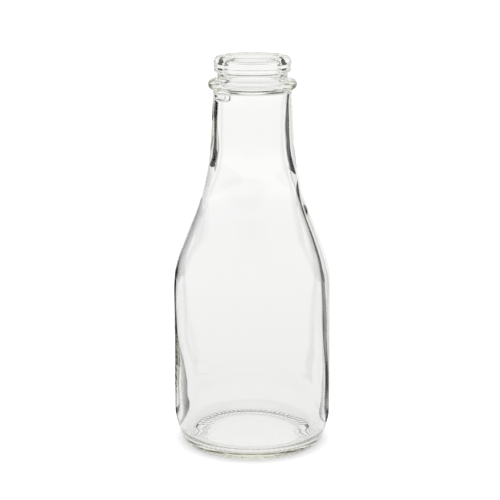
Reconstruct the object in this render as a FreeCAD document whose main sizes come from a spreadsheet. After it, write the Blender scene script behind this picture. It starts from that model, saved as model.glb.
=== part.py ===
import FreeCAD, Part

import math
import os

import Sketcher

# A quart milk bottle of clear pressed-and-blown glass: one moulded piece with an open mouth.
# Millimetres. The origin is the centre of the surface that it stands on and +Z runs up its axis.
# Seen from the front, along +Y, the registration lug under the collar is to the left.

# Driving dimensions: alias, value, meaning. Radii are measured from the bottle's axis, and a
# corner is where two straight runs of the outline would meet if it weren't rounded.
DIMENSIONS = (
    ("height", 240.5, "foot to rim"),
    ("body_radius", 48.5, "outside of the straight body"),
    ("foot_edge_radius", 43.3, "outside corner between the foot and the heel's steep slope"),
    ("foot_edge_round", 4.0, "outside rounding of that corner"),
    ("heel_height", 16.0, "height of the outside corner between that slope and the body"),
    ("heel_round", 30.0, "outside rounding of that corner"),
    ("shoulder_corner_height", 110.2, "outside corner between body and shoulder"),
    ("shoulder_round", 64.5, "outside rounding of that corner"),
    ("neck_corner_height", 165.5, "outside corner between shoulder and neck"),
    ("neck_corner_radius", 26.9, "radius of the outside at that corner"),
    ("neck_round", 128.0, "outside rounding of that corner"),
    ("neck_top_radius", 23.9, "outside of the neck just under the collar"),
    ("collar_radius", 26.85, "crest of the collar bead"),
    ("collar_foot", 219.4, "height where the collar's sloping underside leaves the neck"),
    ("collar_bottom", 221.4, "height of the lower corner of the bead"),
    ("collar_top", 225.6, "height of the upper corner of the bead"),
    ("collar_round", 3.0, "rounding of the bead's two edges"),
    ("finish_fillet", 0.5, "inside corners above and below the collar and under the lip"),
    ("groove_radius", 21.3, "outside of the groove between collar and lip"),
    ("groove_bottom", 227.2, "height where the groove meets the collar's sloping top"),
    ("groove_top", 230.0, "height where the groove meets the lip's sloping underside"),
    ("lip_radius", 23.7, "outside of the lip, where a push-fit cap sits"),
    ("lip_bottom", 230.9, "height of the lower corner of the lip"),
    ("lip_lower_round", 1.5, "rounding of the lip's lower edge"),
    ("lip_upper_round", 3.4, "rounding of the lip's upper edge"),
    ("mouth_radius", 16.9, "bore of the throat"),
    ("mouth_round", 2.2, "rounding of the rim's inner edge"),
    ("throat_bottom", 226.0, "corner where the throat starts to widen"),
    ("throat_round", 4.0, "rounding at both ends of the widening"),
    ("neck_bore_radius", 21.1, "inside of the neck below the widening"),
    ("neck_bore_top", 218.5, "corner where the widening ends"),
    ("inner_neck_radius", 21.3, "inside corner between shoulder and neck"),
    ("inner_neck_height", 175.8, "height of that corner"),
    ("inner_neck_round", 60.0, "inside rounding of that corner"),
    ("body_wall", 2.8, "thickness of the body's wall"),
    ("inner_shoulder_height", 109.6, "inside corner between body and shoulder"),
    ("inner_shoulder_round", 61.7, "inside rounding of that corner"),
    ("taper_top", 68.0, "height where the lower wall starts to thicken towards the floor"),
    ("taper_round", 300.0, "inside rounding there"),
    ("inner_heel_radius", 43.9, "inside corner between that wall and the floor"),
    ("inner_heel_round", 10.0, "inside rounding from the wall to the floor"),
    ("floor_edge_height", 4.4, "height of that corner"),
    ("floor_height", 5.4, "floor's height at the middle"),
    ("dome_flat", 15.0, "radius of the flat middle of floor and push-up"),
    ("dome_round", 100.0, "rounding from the flat middle into the slope"),
    ("push_up_height", 1.8, "height of the push-up's middle above the foot"),
    ("push_up_radius", 28.0, "edge of the push-up"),
    ("push_up_edge", 1.5, "height of the push-up's edge"),
    ("recess_radius", 30.5, "inner edge of the recess round the push-up"),
    ("recess_height", 1.0, "height of the recess at that edge"),
    ("recess_fillet", 0.5, "rounding of the push-up's edges"),
    ("bearing_height", 0.7, "height of the recess beside the foot ring"),
    ("bearing_shoulder", 34.0, "outer edge of the recess"),
    ("bearing_inner", 36.5, "inner edge of the flat foot ring"),
    ("knurls", 72, "short radial notches in the foot ring"),
    ("knurl_inner", 37.0, "inner end of a notch"),
    ("knurl_outer", 39.8, "outer end of a notch"),
    ("knurl_width", 1.5, "width of a notch"),
    ("knurl_depth", 0.45, "height of a notch's roof above the foot"),
    ("lug_angle", -140.0, "direction of the lug, counted from +X"),
    ("lug_radius", 26.0, "outer face of the lug"),
    ("lug_root", 22.5, "inner end of the lug, inside the neck's glass"),
    ("lug_width", 13.0, "width of the lug round the neck"),
    ("lug_bottom", 215.4, "height of the lug's lower end"),
    ("lug_top", 221.5, "height of its upper end, inside the collar bead"),
    ("lug_round", 2.2, "rounding of the lug's outer corners"),
    ("lug_edge", 1.2, "rounding of the lug's lower edge"),
)

# Height by which the cavity's outline runs past the rim, so that the mouth is cut right through.
OVERRUN = 3.0

# How closely a found edge has to lie where it is looked for.
TOLERANCE = 0.01

# Cubic millimetres in a millilitre, and grams in a millilitre of soda-lime glass.
ML = 1000.0
GLASS_DENSITY = 2.5


def make_sheet(doc):
    """Write the driving dimensions into a spreadsheet, one alias to a row."""
    sheet = doc.addObject("Spreadsheet::Sheet", "dims")
    for row, (alias, value, meaning) in enumerate(DIMENSIONS, start=1):
        sheet.set(f"A{row}", alias)
        sheet.set(f"B{row}", str(value))
        sheet.set(f"C{row}", meaning)
        sheet.setAlias(f"B{row}", alias)
    doc.recompute()
    return sheet


def origin_feature(body, role):
    """The body's own origin plane or axis that has this role."""
    return next(item for item in body.Origin.OriginFeatures if item.Role == role)


def new_sketch(body, name, plane):
    sketch = body.newObject("Sketcher::SketchObject", name)
    sketch.AttachmentSupport = [(origin_feature(body, plane), "")]
    sketch.MapMode = "FlatFace"
    return sketch


def drive(sketch, constraint, expression):
    """Add a dimension to the sketch and bind its value to the sheet."""
    index = sketch.addConstraint(constraint)
    sketch.setExpression(f"Constraints[{index}]", expression)


def unit(start, end):
    return (end - start).normalize()


def draw_outline(sketch, corners):
    """Draw a closed outline whose corners are (x, y, rounding) expressions on the sheet.

    A corner with a rounding is an arc tangent to the straight runs on both sides of it, and its
    place is kept by a point where the two runs would meet. A corner on the axis has x None.
    """
    places = []
    rounds = []
    for x, y, rounding in corners:
        across = sketch.evalExpression(x) if x else 0.0
        places.append(FreeCAD.Vector(across, sketch.evalExpression(y), 0))
        rounds.append(sketch.evalExpression(rounding) if rounding else 0.0)

    count = len(corners)
    turns = []
    trims = []
    for k in range(count):
        into = unit(places[k - 1], places[k])
        out = unit(places[k], places[(k + 1) % count])
        turns.append(math.atan2(into.cross(out).z, into.dot(out)))
        trims.append(rounds[k] * math.tan(abs(turns[k]) / 2))

    runs = []
    for k in range(count):
        following = (k + 1) % count
        along = unit(places[k], places[following])
        start = places[k] + along * trims[k]
        end = places[following] - along * trims[following]
        runs.append(sketch.addGeometry(Part.LineSegment(start, end), False))

    for k, (x, y, rounding) in enumerate(corners):
        before = runs[k - 1]
        after = runs[k]
        if rounding:
            arc, point = round_corner(sketch, places, rounds, turns, trims, k, before, after)
            drive(sketch, Sketcher.Constraint("Radius", arc, rounds[k]), rounding)
            corner = (point, 1)
        else:
            sketch.addConstraint(Sketcher.Constraint("Coincident", before, 2, after, 1))
            corner = (after, 1)
        if x:
            drive(sketch, Sketcher.Constraint("DistanceX", -1, 1, *corner, places[k].x), x)
        else:
            sketch.addConstraint(Sketcher.Constraint("PointOnObject", *corner, -2))
        drive(sketch, Sketcher.Constraint("DistanceY", -1, 1, *corner, places[k].y), y)


def round_corner(sketch, places, rounds, turns, trims, k, before, after):
    """Join two runs with a tangent arc. Returns the arc and the point that marks the corner."""
    into = unit(places[k - 1], places[k])
    left = FreeCAD.Vector(-into.y, into.x, 0)
    side = math.copysign(1, turns[k])
    centre = places[k] - into * trims[k] + left * (side * rounds[k])
    middle = unit(centre, places[k])
    half = abs(turns[k]) / 2
    bearing = math.atan2(middle.y, middle.x)
    circle = Part.Circle(centre, FreeCAD.Vector(0, 0, 1), rounds[k])
    arc = sketch.addGeometry(Part.ArcOfCircle(circle, bearing - half, bearing + half), False)
    point = sketch.addGeometry(Part.Point(places[k]), True)
    first, last = (1, 2) if side > 0 else (2, 1)
    sketch.addConstraint(Sketcher.Constraint("Tangent", before, 2, arc, first))
    sketch.addConstraint(Sketcher.Constraint("Tangent", arc, last, after, 1))
    sketch.addConstraint(Sketcher.Constraint("PointOnObject", point, 1, before))
    sketch.addConstraint(Sketcher.Constraint("PointOnObject", point, 1, after))
    return arc, point


def outer_form(body):
    """The solid form of the bottle: foot, heel, body, shoulder, neck, collar, groove and lip."""
    sketch = new_sketch(body, "outer_outline", "XZ_Plane")
    draw_outline(sketch, (
        (None, "dims.push_up_height", None),
        ("dims.dome_flat", "dims.push_up_height", "dims.dome_round"),
        ("dims.push_up_radius", "dims.push_up_edge", "dims.recess_fillet"),
        ("dims.recess_radius", "dims.recess_height", "dims.recess_fillet"),
        ("dims.bearing_shoulder", "dims.bearing_height", None),
        ("dims.bearing_inner", "0", None),
        ("dims.foot_edge_radius", "0", "dims.foot_edge_round"),
        ("dims.body_radius", "dims.heel_height", "dims.heel_round"),
        ("dims.body_radius", "dims.shoulder_corner_height", "dims.shoulder_round"),
        ("dims.neck_corner_radius", "dims.neck_corner_height", "dims.neck_round"),
        ("dims.neck_top_radius", "dims.collar_foot", "dims.finish_fillet"),
        ("dims.collar_radius", "dims.collar_bottom", "dims.collar_round"),
        ("dims.collar_radius", "dims.collar_top", "dims.collar_round"),
        ("dims.groove_radius", "dims.groove_bottom", "dims.finish_fillet"),
        ("dims.groove_radius", "dims.groove_top", "dims.finish_fillet"),
        ("dims.lip_radius", "dims.lip_bottom", "dims.lip_lower_round"),
        ("dims.lip_radius", "dims.height", "dims.lip_upper_round"),
        (None, "dims.height", None),
    ))
    form = body.newObject("PartDesign::Revolution", "outer_form")
    form.Profile = (sketch, [""])
    form.ReferenceAxis = (sketch, ["V_Axis"])
    form.Angle = 360.0
    return form


def lug(body):
    """The registration lug: a low block on the neck that runs up into the collar bead."""
    sketch = new_sketch(body, "lug_outline", "XY_Plane")
    sketch.setExpression(".AttachmentOffset.Base.z", "dims.lug_bottom")
    sketch.setExpression(".AttachmentOffset.Rotation.Angle", "dims.lug_angle")
    draw_outline(sketch, (
        ("dims.lug_root", "-dims.lug_width / 2", None),
        ("dims.lug_radius", "-dims.lug_width / 2", "dims.lug_round"),
        ("dims.lug_radius", "dims.lug_width / 2", "dims.lug_round"),
        ("dims.lug_root", "dims.lug_width / 2", None),
    ))
    block = body.newObject("PartDesign::Pad", "lug")
    block.Profile = (sketch, [""])
    block.setExpression("Length", "dims.lug_top - dims.lug_bottom")
    doc = body.Document
    doc.recompute()
    level = doc.dims.lug_bottom
    lower_edges = [name for name, edge in level_edges(block, level) if not on_axis(edge)]
    return block, round_edges(body, "lug_round", block, lower_edges, "dims.lug_edge")


def cavity(body):
    """The inside, from the floor up through the throat and out past the rim."""
    sketch = new_sketch(body, "cavity_outline", "XZ_Plane")
    inner_wall = "dims.body_radius - dims.body_wall"
    above_rim = f"dims.height + {OVERRUN}"
    draw_outline(sketch, (
        (None, "dims.floor_height", None),
        ("dims.dome_flat", "dims.floor_height", "dims.dome_round"),
        ("dims.inner_heel_radius", "dims.floor_edge_height", "dims.inner_heel_round"),
        (inner_wall, "dims.taper_top", "dims.taper_round"),
        (inner_wall, "dims.inner_shoulder_height", "dims.inner_shoulder_round"),
        ("dims.inner_neck_radius", "dims.inner_neck_height", "dims.inner_neck_round"),
        ("dims.neck_bore_radius", "dims.neck_bore_top", "dims.throat_round"),
        ("dims.mouth_radius", "dims.throat_bottom", "dims.throat_round"),
        ("dims.mouth_radius", above_rim, None),
        (None, above_rim, None),
    ))
    hollow = body.newObject("PartDesign::Groove", "cavity")
    hollow.Profile = (sketch, [""])
    hollow.ReferenceAxis = (sketch, ["V_Axis"])
    hollow.Angle = 360.0
    return hollow


def level_edges(feature, height):
    """The names and edges of a feature that lie flat at this height."""
    for number, edge in enumerate(feature.Shape.Edges, start=1):
        box = edge.BoundBox
        if abs(box.ZMin - height) < TOLERANCE and abs(box.ZMax - height) < TOLERANCE:
            yield f"Edge{number}", edge


def on_axis(edge):
    """Whether the edge is an arc or circle round the bottle's axis."""
    curve = edge.Curve
    return isinstance(curve, Part.Circle) and math.hypot(curve.Center.x, curve.Center.y) < TOLERANCE


def round_edges(body, name, base, edges, rounding):
    fillet = body.newObject("PartDesign::Fillet", name)
    fillet.Base = (base, edges)
    fillet.setExpression("Radius", rounding)
    return fillet


def rim_round(body, hollow, sheet):
    """Round the inner edge of the rim, where the throat meets the lip's flat top."""
    inner_edges = []
    for name, edge in level_edges(hollow, sheet.height):
        if on_axis(edge) and abs(edge.Curve.Radius - sheet.mouth_radius) < TOLERANCE:
            inner_edges.append(name)
    return round_edges(body, "rim_round", hollow, inner_edges, "dims.mouth_round")


def knurls(body, sheet):
    """Short radial notches pressed into the foot ring."""
    sketch = new_sketch(body, "knurl_outline", "XY_Plane")
    draw_outline(sketch, (
        ("dims.knurl_inner", "-dims.knurl_width / 2", None),
        ("dims.knurl_outer", "-dims.knurl_width / 2", None),
        ("dims.knurl_outer", "dims.knurl_width / 2", None),
        ("dims.knurl_inner", "dims.knurl_width / 2", None),
    ))
    notch = body.newObject("PartDesign::Pocket", "knurl")
    notch.Profile = (sketch, [""])
    notch.setExpression("Length", "dims.knurl_depth")
    notch.Reversed = True
    ring = body.newObject("PartDesign::PolarPattern", "knurl_ring")
    ring.Originals = [notch]
    ring.Axis = (origin_feature(body, "Z_Axis"), [""])
    ring.Angle = 360.0
    ring.Occurrences = int(sheet.knurls)
    return notch, ring


def glass_bottle(doc, sheet):
    body = doc.addObject("PartDesign::Body", "glass_bottle")
    body.Label = "glass_bottle"
    form = outer_form(body)
    block, block_round = lug(body)
    doc.recompute()
    hollow = cavity(body)
    doc.recompute()
    rim = rim_round(body, hollow, sheet)
    doc.recompute()
    notch, ring = knurls(body, sheet)
    body.Tip = ring
    doc.recompute()
    check_volumes(form, [(block, 1), (block_round, -1), (hollow, -1), (rim, -1), (notch, -1), (ring, -1)])
    print(f"brimful capacity {(block_round.Shape.Volume - hollow.Shape.Volume) / ML:.0f} ml")
    return body


def check_volumes(first, steps):
    """Check that each step after the first adds (+1) or removes (-1) glass as it should."""
    before = first.Shape.Volume
    for step, sign in steps:
        change = step.Shape.Volume - before
        print(f"{step.Name}: {change:+.1f} mm3")
        if change * sign <= 0:
            raise RuntimeError(f"{step.Name} changes the volume by {change:.2f} mm3")
        before = step.Shape.Volume
    print(f"glass {before / ML:.1f} ml, {before / ML * GLASS_DENSITY:.0f} g")


def check(doc, bodies):
    """Stop if any object failed to compute or any sub-part has no valid shape."""
    for item in doc.Objects:
        if "Invalid" in item.State or "Error" in item.State:
            raise RuntimeError(f"{item.Name} failed: {item.State}")
    for body in bodies:
        if body.Shape.isNull() or not body.Shape.isValid() or len(body.Shape.Solids) != 1:
            raise RuntimeError(f"{body.Label} has no single valid solid")


def main():
    doc = FreeCAD.newDocument("milk_bottle")
    sheet = make_sheet(doc)
    bodies = [glass_bottle(doc, sheet)]
    doc.recompute()
    check(doc, bodies)
    os.makedirs("parts", exist_ok=True)
    for body in bodies:
        box = body.Shape.optimalBoundingBox()
        print(f"{body.Label}: {box.XLength:.2f} x {box.YLength:.2f} x {box.ZLength:.2f} mm")
        body.Shape.exportStep(f"parts/{body.Label}.step")


main()
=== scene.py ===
import math

import bpy
import numpy as np
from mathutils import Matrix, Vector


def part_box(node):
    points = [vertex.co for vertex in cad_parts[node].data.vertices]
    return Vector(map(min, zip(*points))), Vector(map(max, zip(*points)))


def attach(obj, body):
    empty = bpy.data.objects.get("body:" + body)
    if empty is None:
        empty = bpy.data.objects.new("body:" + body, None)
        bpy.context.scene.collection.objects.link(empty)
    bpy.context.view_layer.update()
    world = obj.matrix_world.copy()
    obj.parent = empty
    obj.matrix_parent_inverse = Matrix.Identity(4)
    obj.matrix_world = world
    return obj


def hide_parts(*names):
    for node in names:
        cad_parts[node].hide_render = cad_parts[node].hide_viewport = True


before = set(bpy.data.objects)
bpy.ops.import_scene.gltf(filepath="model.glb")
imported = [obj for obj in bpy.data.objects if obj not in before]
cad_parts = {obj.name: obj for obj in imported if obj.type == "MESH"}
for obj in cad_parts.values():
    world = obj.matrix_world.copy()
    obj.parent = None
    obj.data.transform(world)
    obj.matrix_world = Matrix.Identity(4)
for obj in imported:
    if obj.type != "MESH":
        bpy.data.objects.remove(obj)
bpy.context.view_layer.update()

# A quart milk bottle of clear glass, standing on a white table. Metres, in the frame's own axes:
# the origin is the centre of the foot, +Z runs up the bottle and the viewer looks along +Y.

MM = 0.001
_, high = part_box("glass_bottle")
HEIGHT = high.z
BODY_RADIUS = high.x

# The outline's corners, as (radius, height, rounding, longest step along the run that follows), in
# millimetres. A corner is where two straight runs would meet if its rounding weren't there.
UNDERSIDE = (
    (0.0, 1.5, 0.0, 2.5),
    (15.0, 1.5, 100.0, 2.0),
    (33.0, 0.8, 12.0, 0.6),
)
OUTSIDE = (
    (36.5, 0.0, 4.0, 0.45),
    (43.3, 0.0, 4.0, 1.2),
    (BODY_RADIUS / MM, 16.0, 30.0, 3.6),
    (BODY_RADIUS / MM, 110.2, 64.5, 3.4),
    (26.9, 165.5, 128.0, 3.0),
    (24.0, 213.5, 0.0, 0.55),
    (23.9, 219.4, 0.5, 0.5),
    (26.85, 221.4, 3.0, 0.5),
    (26.85, 225.6, 3.0, 0.5),
    (21.3, 227.2, 0.8, 0.7),
    (21.3, 230.0, 0.6, 0.5),
    (23.3, 230.9, 1.6, 0.8),
    (23.75, HEIGHT / MM, 4.4, 0.7),
)
INSIDE = (
    (16.5, HEIGHT / MM, 2.2, 1.0),
    (17.3, 233.0, 6.0, 1.0),
    (16.8, 226.0, 3.0, 1.0),
    (21.1, 218.5, 4.0, 3.0),
    (20.7, 177.0, 60.0, 3.2),
    (45.7, 109.6, 61.7, 3.6),
    (45.7, 68.0, 300.0, 3.6),
    (44.2, 4.4, 8.0, 2.0),
    (15.0, 5.4, 100.0, 2.5),
    (0.0, 5.4, 0.0, 1.0),
)
# The longest steps along a rounding, as a turn and in millimetres, and the points round the bottle.
ARC_TURN = math.radians(11)
ARC_LENGTH = 3.0
AROUND = 288

# The wall's inner side leans off the axis by WALL_ASIDE in the body and by less in the neck, as
# (how far, the heights between which it comes in). It is centred again at the throat.
WALL_ASIDE = (1.4 * MM, 20 * MM, 85 * MM)
NECK_BACK = (1.1 * MM, 140 * MM, 178 * MM)
THROAT_CENTRED = (204 * MM, 222 * MM)

# A swell on the inside: its size, the heights between which it fades in and out, and its waves.
SWELL = 0.08 * MM
SWELL_IN, SWELL_OUT = (14 * MM, 40 * MM), (195 * MM, 214 * MM)
SWELL_SEED, SWELL_WAVES = 5, 14
SWELL_SHORT, SWELL_LONG = 40 * MM, 160 * MM
MOST_TURNS = 6
PHASES = 6.3

KNURLS = 72
KNURL_INNER, KNURL_OUTER = 33.0 * MM, 40.4 * MM
KNURL_DEPTH = 0.6 * MM
KNURL_INNER_FADE, KNURL_OUTER_FADE = 0.6 * MM, 0.8 * MM
FOOT_TOP = 2 * MM

LUG_DIRECTION = math.radians(-140)
LUG_HALF_WIDTH = 6.8 * MM
LUG_BOTTOM = 215.4 * MM
LUG_TOP = 221.5 * MM
LUG_RADIUS = 26.0 * MM
LUG_EDGE = 2.6 * MM
LUG_FILL = 0.92


def rounded_outline(corners):
    """Points along a row of corners, each replaced by an arc tangent to the runs beside it."""
    places = [np.array(corner[:2]) for corner in corners]
    outline = [places[0]]
    for k in range(1, len(corners)):
        rounding, step = corners[k][2], corners[k - 1][3]
        if k == len(corners) - 1 or rounding == 0:
            arc = [places[k]]
        else:
            arc = corner_arc(places[k - 1], places[k], places[k + 1], rounding)
        gap = arc[0] - outline[-1]
        pieces = max(1, math.ceil(np.hypot(*gap) / step))
        outline += [outline[-1] + gap * i / pieces for i in range(1, pieces)]
        outline += arc
    return np.array(outline) * MM


def corner_arc(before, corner, after, rounding):
    """The points of the arc that rounds a corner, from one run's end to the next one's start."""
    into = (corner - before) / np.hypot(*(corner - before))
    out = (after - corner) / np.hypot(*(after - corner))
    turn = math.atan2(into[0] * out[1] - into[1] * out[0], into @ out)
    trim = rounding * math.tan(abs(turn) / 2)
    side = math.copysign(1, turn)
    centre = corner - into * trim + side * rounding * np.array([-into[1], into[0]])
    spoke = corner - into * trim - centre
    steps = max(2, math.ceil(abs(turn) / ARC_TURN), math.ceil(rounding * abs(turn) / ARC_LENGTH))
    arc = []
    for i in range(steps + 1):
        c, s = math.cos(turn * i / steps), math.sin(turn * i / steps)
        arc.append(centre + np.array([c * spoke[0] - s * spoke[1], s * spoke[0] + c * spoke[1]]))
    return arc


def smooth_step(low_end, high_end, value):
    t = np.clip((value - low_end) / (high_end - low_end), 0, 1)
    return t * t * (3 - 2 * t)


def swell(angle, height):
    """A smooth random swell over the wall, of about unit size."""
    rng = np.random.default_rng(SWELL_SEED)
    total = 0
    for _ in range(SWELL_WAVES):
        turns = int(rng.integers(1, MOST_TURNS + 1))
        pitch = 2 * math.pi / rng.uniform(SWELL_SHORT, SWELL_LONG) * rng.choice([-1, 1])
        total = total + rng.normal() * np.cos(turns * angle + pitch * height + rng.uniform(0, PHASES))
    return total / math.sqrt(SWELL_WAVES / 2)


def inner_offset(angle, height):
    """How far the wall's inner side lies from its round, centred outline."""
    aside = WALL_ASIDE[0] * smooth_step(*WALL_ASIDE[1:], height)
    aside = aside - NECK_BACK[0] * smooth_step(*NECK_BACK[1:], height)
    aside = aside * (1 - smooth_step(*THROAT_CENTRED, height))
    fade = smooth_step(*SWELL_IN, height) * (1 - smooth_step(*SWELL_OUT, height))
    return SWELL * fade * swell(angle, height) + aside * np.cos(angle)


def knurl_offset(angle, radius, height):
    """How far the foot's short radial notches are pressed into the glass."""
    band = smooth_step(KNURL_INNER, KNURL_INNER + KNURL_INNER_FADE, radius)
    band = band * (1 - smooth_step(KNURL_OUTER - KNURL_OUTER_FADE, KNURL_OUTER, radius))
    band = band * (height < FOOT_TOP)
    return -KNURL_DEPTH * band * (0.5 + 0.5 * np.cos(KNURLS * angle))


def lug_rise(angle, radius, height):
    """How far the lug stands out from the neck. It fills the corner under the collar."""
    across = np.abs((angle - LUG_DIRECTION + math.pi) % (2 * math.pi) - math.pi) * radius
    sides = 1 - smooth_step(LUG_HALF_WIDTH - LUG_EDGE, LUG_HALF_WIDTH + LUG_EDGE / 2, across)
    start = smooth_step(LUG_BOTTOM - LUG_EDGE / 2, LUG_BOTTOM + LUG_EDGE / 2, height)
    room = np.where(height < LUG_TOP, np.maximum(LUG_RADIUS - radius, 0), 0)
    return LUG_FILL * room * sides * start


def glass_mesh():
    """The outline turned round the axis, from the underside's middle to the inside floor's."""
    under = rounded_outline(UNDERSIDE + OUTSIDE[:1])[:-1]
    outside = rounded_outline(OUTSIDE + INSIDE[:1])[:-1]
    inside = rounded_outline(INSIDE)
    outline = np.concatenate([under, outside, inside])
    stations = len(outline)
    steps = np.gradient(outline, axis=0)
    normals = np.stack([steps[:, 1], -steps[:, 0]], axis=1)
    normals /= np.linalg.norm(normals, axis=1)[:, None]

    angle = np.arange(AROUND) * 2 * math.pi / AROUND
    radius = outline[1:-1, 0:1]
    height = outline[1:-1, 1:2]
    is_inside = (np.arange(1, stations - 1) >= len(under) + len(outside))[:, None]

    offset = np.where(is_inside, inner_offset(angle, height), knurl_offset(angle, radius, height))
    lug = np.where(is_inside, 0, lug_rise(angle, radius, height))

    ring_radius = radius + offset * normals[1:-1, 0:1] + lug
    ring_height = height + offset * normals[1:-1, 1:2]
    rings = np.stack([ring_radius * np.cos(angle), ring_radius * np.sin(angle), ring_height + 0 * angle], -1)
    points = [tuple(p) for p in rings.reshape(-1, 3)]
    first_pole, last_pole = len(points), len(points) + 1
    points += [(0, 0, outline[0, 1]), (0, 0, outline[-1, 1])]

    faces = []
    for k in range(stations - 3):
        for j in range(AROUND):
            j2 = (j + 1) % AROUND
            a, b = k * AROUND, (k + 1) * AROUND
            faces.append((a + j, a + j2, b + j2, b + j))
    top = (stations - 3) * AROUND
    for j in range(AROUND):
        j2 = (j + 1) % AROUND
        faces.append((first_pole, j2, j))
        faces.append((last_pole, top + j, top + j2))

    mesh = bpy.data.meshes.new("milk_bottle")
    mesh.from_pydata(points, [], faces)
    mesh.polygons.foreach_set("use_smooth", [True] * len(mesh.polygons))
    mesh.validate()
    return mesh


# The foot's moulded stipple: how far up and in it reaches, how wide its inner edge is and how deep.
STIPPLE_TOP = 4 * MM
STIPPLE_INNER = 26 * MM
STIPPLE_FADE = 3 * MM
STIPPLE_DEPTH = 0.35 * MM

# Waves to the metre of the stipple and of the wear, and the roughness where the wear is greatest.
STIPPLE_SCALE, WEAR_SCALE = 700.0, 45.0
WEAR_FROM, WEAR_TO = 0.45, 0.8
WORN_ROUGHNESS = 0.02

GLASS_IOR = 1.52
GLASS_TINT, TINT_DENSITY = (0.86, 0.855, 0.70, 1), 9.0


def noise(nodes, links, place, scale):
    """A noise pattern laid through the glass, with this many waves to the metre."""
    pattern = nodes.new("ShaderNodeTexNoise")
    pattern.inputs["Scale"].default_value = scale
    pattern.inputs["Detail"].default_value = 2.0
    links.new(place.outputs["Object"], pattern.inputs["Vector"])
    return pattern.outputs[0]


def map_range(nodes, links, value, start, end, low_value=0.0, high_value=1.0):
    """The value, turned from the span between start and end into the one between two others."""
    share = nodes.new("ShaderNodeMapRange")
    share.inputs["From Min"].default_value = start
    share.inputs["From Max"].default_value = end
    share.inputs["To Min"].default_value = low_value
    share.inputs["To Max"].default_value = high_value
    links.new(value, share.inputs["Value"])
    return share.outputs[0]


def maths(nodes, links, operation, first, second):
    """Two values joined by a Math node. Each is a socket or a plain number."""
    node = nodes.new("ShaderNodeMath")
    node.operation = operation
    for socket, value in zip(node.inputs, (first, second)):
        if isinstance(value, float):
            socket.default_value = value
        else:
            links.new(value, socket)
    return node.outputs[0]


def reach(nodes, links, place):
    """How far a point is from the object's origin."""
    length = nodes.new("ShaderNodeVectorMath")
    length.operation = "LENGTH"
    links.new(place.outputs["Object"], length.inputs[0])
    return length.outputs["Value"]


def glass_material():
    """Clear glass with a stippled foot and slight wear on its polish."""
    material = bpy.data.materials.new("clear_glass")
    material.use_nodes = True
    nodes, links = material.node_tree.nodes, material.node_tree.links
    shader = nodes["Principled BSDF"]
    shader.inputs["Base Color"].default_value = (1.0, 1.0, 1.0, 1)
    shader.inputs["Transmission Weight"].default_value = 1.0
    shader.inputs["IOR"].default_value = GLASS_IOR

    place = nodes.new("ShaderNodeTexCoord")
    split = nodes.new("ShaderNodeSeparateXYZ")
    links.new(place.outputs["Object"], split.inputs[0])
    near_foot = map_range(nodes, links, split.outputs["Z"], STIPPLE_TOP, 0.0)
    from_axis = reach(nodes, links, place)
    in_ring = map_range(nodes, links, from_axis, STIPPLE_INNER, STIPPLE_INNER + STIPPLE_FADE)
    where = maths(nodes, links, "MULTIPLY", near_foot, in_ring)
    depth = maths(nodes, links, "MULTIPLY", where, noise(nodes, links, place, STIPPLE_SCALE))
    bump = nodes.new("ShaderNodeBump")
    bump.inputs["Strength"].default_value = 1.0
    bump.inputs["Distance"].default_value = STIPPLE_DEPTH
    links.new(depth, bump.inputs["Height"])
    links.new(bump.outputs[0], shader.inputs["Normal"])

    wear = noise(nodes, links, place, WEAR_SCALE)
    roughness = map_range(nodes, links, wear, WEAR_FROM, WEAR_TO, 0.0, WORN_ROUGHNESS)
    links.new(roughness, shader.inputs["Roughness"])

    absorb = nodes.new("ShaderNodeVolumeAbsorption")
    absorb.inputs["Color"].default_value = GLASS_TINT
    absorb.inputs["Density"].default_value = TINT_DENSITY
    links.new(absorb.outputs[0], nodes["Material Output"].inputs["Volume"])
    return material


def make_bottle():
    bottle = bpy.data.objects.new("milk_bottle", glass_mesh())
    bpy.context.scene.collection.objects.link(bottle)
    bottle.data.materials.append(glass_material())
    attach(bottle, "root")
    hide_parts("glass_bottle")


# The camera stands off the front of the bottle and looks a little down on it.
VIEW_DISTANCE = 0.880
VIEW_HEIGHT = 0.3233
VIEW_PITCH = math.radians(12.95)
VIEW_ASIDE = -0.0015
LENS, SENSOR = 105.7, 36.0


def make_camera():
    """A long lens without shift, level from side to side."""
    data = bpy.data.cameras.new("camera")
    data.lens = LENS
    data.sensor_width = SENSOR
    camera = bpy.data.objects.new("camera", data)
    camera.location = (VIEW_ASIDE, -VIEW_DISTANCE, VIEW_HEIGHT)
    camera.rotation_euler = (math.pi / 2 - VIEW_PITCH, 0, 0)
    bpy.context.scene.collection.objects.link(camera)
    bpy.context.scene.camera = camera


def emission_material(name, strength):
    """A material that only glows, and the node that sets how much."""
    material = bpy.data.materials.new(name)
    material.use_nodes = True
    nodes, links = material.node_tree.nodes, material.node_tree.links
    nodes.remove(nodes["Principled BSDF"])
    glow = nodes.new("ShaderNodeEmission")
    glow.inputs["Strength"].default_value = strength
    links.new(glow.outputs[0], nodes["Material Output"].inputs["Surface"])
    return material, glow


def sheet(name, points, faces, material):
    """A flat or folded piece of the studio."""
    mesh = bpy.data.meshes.new(name)
    mesh.from_pydata(points, [], faces)
    mesh.materials.append(material)
    made = bpy.data.objects.new(name, mesh)
    bpy.context.scene.collection.objects.link(made)
    return made


SPOKES = 96


def circle(radius, height):
    turns = [2 * math.pi * k / SPOKES for k in range(SPOKES)]
    return [(radius * math.cos(turn), radius * math.sin(turn), height) for turn in turns]


def disc(name, radius, height, material):
    return sheet(name, circle(radius, height), [tuple(range(SPOKES))], material)


BACKDROP_RADIUS, BACKDROP_HEIGHT, BACKDROP_GLOW = 5.9, 6.0, 1.05


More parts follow.
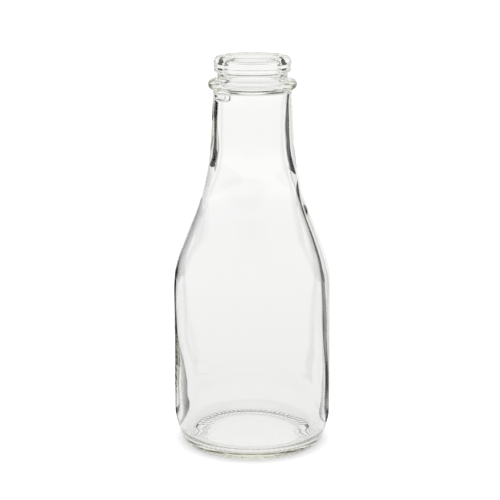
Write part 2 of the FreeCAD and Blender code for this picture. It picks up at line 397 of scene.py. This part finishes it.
def make_backdrop():
    """A white wall round the table, which only the camera sees."""
    white, _ = emission_material("white_backdrop", BACKDROP_GLOW)
    points = circle(BACKDROP_RADIUS, 0.0) + circle(BACKDROP_RADIUS, BACKDROP_HEIGHT)
    faces = []
    for k in range(SPOKES):
        k2 = (k + 1) % SPOKES
        faces.append((k, k2, SPOKES + k2, SPOKES + k))
    wall = sheet("backdrop", points, faces, white)
    wall.visible_diffuse = False
    wall.visible_glossy = False
    wall.visible_transmission = False
    wall.visible_shadow = False


def distance_ramp(material, near, far, near_value, far_value, power):
    """A value that climbs with the distance from the bottle's axis, between two radii. On both tables it
    dims the glow near the bottle, as painted shade.
    """
    nodes, links = material.node_tree.nodes, material.node_tree.links
    share = map_range(nodes, links, reach(nodes, links, nodes.new("ShaderNodeTexCoord")), near, far)
    curve = maths(nodes, links, "POWER", share, power)
    return map_range(nodes, links, curve, 0.0, 1.0, near_value, far_value)


# How the tables glow, as (near radius, far radius, strength at each, power of the climb). The glow is dimmer
# near the bottle as painted shade: on the table the camera sees it is a painted contact shadow, added to the
# real shade on its diffuse white, and the table seen in the glass is a dimmer copy whose glow is painted
# shade, darkest by the bottle. The table that is seen in the glass lies just above the other.
TABLE_RADIUS = 6.0
TABLE_GLOW_WITH_PAINTED_SHADOW = (0.038, 0.058, 0.35, 1.05, 1.0)
TABLE_IN_GLASS_GLOW_AND_PAINTED_SHADE = (0.05, 1.8, 0.84, 0.99, 0.55)
TABLE_IN_GLASS_HEIGHT = 0.1 * MM


def make_table():
    """The table as the camera sees it, with a painted contact shadow round the bottle, and a dimmer copy
    that only shows through the glass, whose glow is painted shade.
    """
    white = bpy.data.materials.new("white_table_painted_shadow")
    white.use_nodes = True
    shader = white.node_tree.nodes["Principled BSDF"]
    shader.inputs["Base Color"].default_value = (0.8, 0.8, 0.8, 1)
    shader.inputs["Roughness"].default_value = 1.0
    shader.inputs["Specular IOR Level"].default_value = 0.0
    shader.inputs["Emission Color"].default_value = (1, 1, 1, 1)
    # The glow is dimmer near the bottle: a painted contact shadow, on top of the real shade of the diffuse
    # white.
    white.node_tree.links.new(distance_ramp(white, *TABLE_GLOW_WITH_PAINTED_SHADOW), shader.inputs["Emission Strength"])
    table = disc("table", TABLE_RADIUS, 0.0, white)
    table.visible_transmission = False
    table.visible_glossy = False

    # A dimmer copy of the table for the glass alone: its glow is painted shade, darkest by the bottle.
    seen, glow = emission_material("table_in_glass_painted_shade", 1.0)
    seen.node_tree.links.new(distance_ramp(seen, *TABLE_IN_GLASS_GLOW_AND_PAINTED_SHADE), glow.inputs["Strength"])
    only_in_glass(disc("table_in_glass_painted_shade", TABLE_RADIUS, TABLE_IN_GLASS_HEIGHT, seen))


def only_in_glass(thing):
    thing.visible_camera = False
    thing.visible_diffuse = False
    thing.visible_shadow = False


# Black cards behind the bottle, one to each side: they lie on the table and stand up at the far end.
# Each is a strip of cross-cuts (distance, height, inner bearing, outer bearing), in metres and in
# degrees from +Y, counted from the bottle's left or right edge.
FLAT = 0.3 * MM
LEFT_CARD = (
    (0.04, FLAT, 8, 32),
    (0.085, FLAT, 8, 32),
    (0.12, FLAT, 9, 34),
    (0.16, FLAT, 18, 38),
    (0.28, FLAT, 17, 36),
    (0.36, FLAT, 13, 30),
    (0.55, FLAT, 13, 30),
    (0.62, FLAT, 22, 48),
    (0.95, FLAT, 22, 50),
    (1.3, FLAT, 24, 56),
    (3.0, FLAT, 28, 62),
    (3.0, 0.45, 18, 50),
    (3.0, 0.62, 36, 62),
)
RIGHT_CARD = (
    (0.02, FLAT, 14, 42),
    (0.10, FLAT, 18, 42),
    (0.18, FLAT, 24, 42),
    (0.3, FLAT, 31, 44),
    (0.6, FLAT, 31, 48),
    (0.9, FLAT, 34, 58),
    (3.0, FLAT, 34, 62),
    (3.0, 0.2, 30, 62),
    (3.0, 0.45, 20, 56),
    (3.0, 0.62, 36, 62),
)
CARD_STEPS = 12


def make_card(name, side, cuts, material):
    """A black card seen only in the glass, which draws one of its edges dark."""
    points = []
    for distance, height, inner, outer in cuts:
        for bearing in np.radians(np.linspace(inner, outer, CARD_STEPS + 1)):
            across = BODY_RADIUS + distance * math.sin(bearing)
            points.append((side * across, distance * math.cos(bearing), height))
    row = CARD_STEPS + 1
    faces = [(row * r + k, row * r + k + 1, row * r + k + row + 1, row * r + k + row)
             for r in range(len(cuts) - 1) for k in range(CARD_STEPS)]
    only_in_glass(sheet(name, points, faces, material))


def make_cards():
    black, _ = emission_material("black_card", 0.0)
    make_card("left_card", -1, LEFT_CARD, black)
    make_card("right_card", 1, RIGHT_CARD, black)


# The studio's brightness by the sine of the elevation: bright walls, a dark ceiling and a soft box.
SKY = ((0.0, 0.95), (0.47, 0.95), (0.56, 0.03), (0.88, 0.03), (0.94, 1.0))


def make_light():
    """A world whose brightness changes with height only."""
    world = bpy.data.worlds.new("studio")
    world.use_nodes = True
    bpy.context.scene.world = world
    nodes, links = world.node_tree.nodes, world.node_tree.links
    place = nodes.new("ShaderNodeTexCoord")
    split = nodes.new("ShaderNodeSeparateXYZ")
    level = nodes.new("ShaderNodeValToRGB")
    ramp = level.color_ramp
    ramp.elements[0].position, ramp.elements[1].position = SKY[0][0], SKY[-1][0]
    for place_up, _ in SKY[1:-1]:
        ramp.elements.new(place_up)
    for element, (_, value) in zip(ramp.elements, SKY):
        element.color = (value, value, value, 1)
    links.new(place.outputs["Generated"], split.inputs[0])
    links.new(split.outputs["Z"], level.inputs[0])
    links.new(level.outputs[0], nodes["Background"].inputs["Color"])


make_bottle()
make_camera()
make_table()
make_backdrop()
make_cards()
make_light()
bpy.context.scene.view_settings.view_transform = "Standard"
bpy.context.scene.cycles.max_bounces = 32
bpy.context.scene.cycles.transmission_bounces = 24
bpy.context.scene.cycles.glossy_bounces = 24
